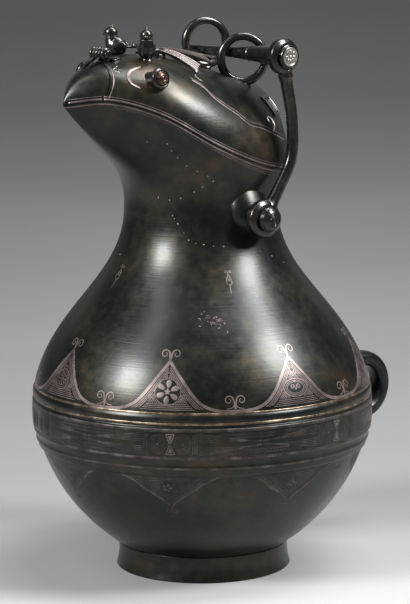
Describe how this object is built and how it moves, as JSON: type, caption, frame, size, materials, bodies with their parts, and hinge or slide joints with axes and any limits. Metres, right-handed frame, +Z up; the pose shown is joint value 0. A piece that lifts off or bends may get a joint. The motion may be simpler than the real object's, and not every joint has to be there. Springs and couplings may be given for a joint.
{
  "type": "bird-shaped ewer",
  "caption": "Round-bellied bronze ewer on a ring foot, with a bird's-head lid, a hinged beak tip, a side arm whose bar runs through two lid rings and a rear loop grip.",
  "frame": {"origin": "under the middle of the whole ewer, on the surface that it stands on", "axes": "+Z up, -Y the way the beak points, +X the bird's left side"},
  "size_m": [0.2406, 0.2993, 0.3865],
  "materials": {
    "bronze": "dark patinated cast bronze, polished to a soft gloss",
    "worn_bronze": "dark bronze, brighter where it is handled",
    "silver_inlay": "soft warm grey silver inlay, slightly tarnished",
    "gold_inlay": "dull gold-coloured wire inlay",
    "copper_inlay": "brown copper inlay, polished"
  },
  "bodies": {
    "vessel": {"vessel_body": "bronze", "foot_ring": "bronze", "base_plate": "bronze", "rear_grip": "bronze", "gold_wire_upper": "gold_inlay", "gold_wire_lower": "gold_inlay", "silver_wire_upper": "silver_inlay", "silver_wire_middle": "silver_inlay", "silver_wire_lower": "silver_inlay", "pivot_boss": "bronze", "pivot_pin": "worn_bronze", "pin_inlay": "worn_bronze"},
    "lid": {"lid_shell": "bronze", "beak_hinge_leaf": "worn_bronze", "beak_hinge_pin": "worn_bronze", "nape_plaque": "worn_bronze", "crest_comb": "bronze", "crest_plume_1": "bronze", "crest_plume_2": "bronze", "crest_plume_3": "bronze", "crest_plume_4": "bronze", "crest_plume_5": "bronze", "eye_left": "worn_bronze", "eye_right": "worn_bronze", "eye_inlay_left": "copper_inlay", "eye_inlay_right": "copper_inlay", "small_bird_left": "worn_bronze", "small_bird_right": "worn_bronze", "lid_ring_left": "worn_bronze", "lid_ring_right": "worn_bronze"},
    "beak_tip": {"beak_flap": "bronze"},
    "arm": {"arm_link": "worn_bronze"},
    "bar": {"crossbar": "worn_bronze", "crossbar_cap": "worn_bronze", "cap_inlay": "silver_inlay"}
  },
  "joints": [
    {"name": "lid_lift", "type": "slide", "parent": "vessel", "child": "lid", "axis": [0, 0, 1], "range_m": [0, 0.0025]},
    {"name": "beak_tip_hinge", "type": "hinge", "parent": "lid", "child": "beak_tip", "pos_m": [0, -0.11675, 0.36688], "axis": [-1, 0, 0], "range_deg": [0, 65]},
    {"name": "arm_swing", "type": "hinge", "parent": "vessel", "child": "arm", "pos_m": [0.0659, -0.02975, 0.2535], "axis": [-1, 0, 0], "range_deg": [-0.4, 2.5]},
    {"name": "crossbar_roll", "type": "hinge", "parent": "arm", "child": "bar", "pos_m": [0.0659, -0.01125, 0.3631], "axis": [1, 0, 0], "continuous": true}
  ]
}
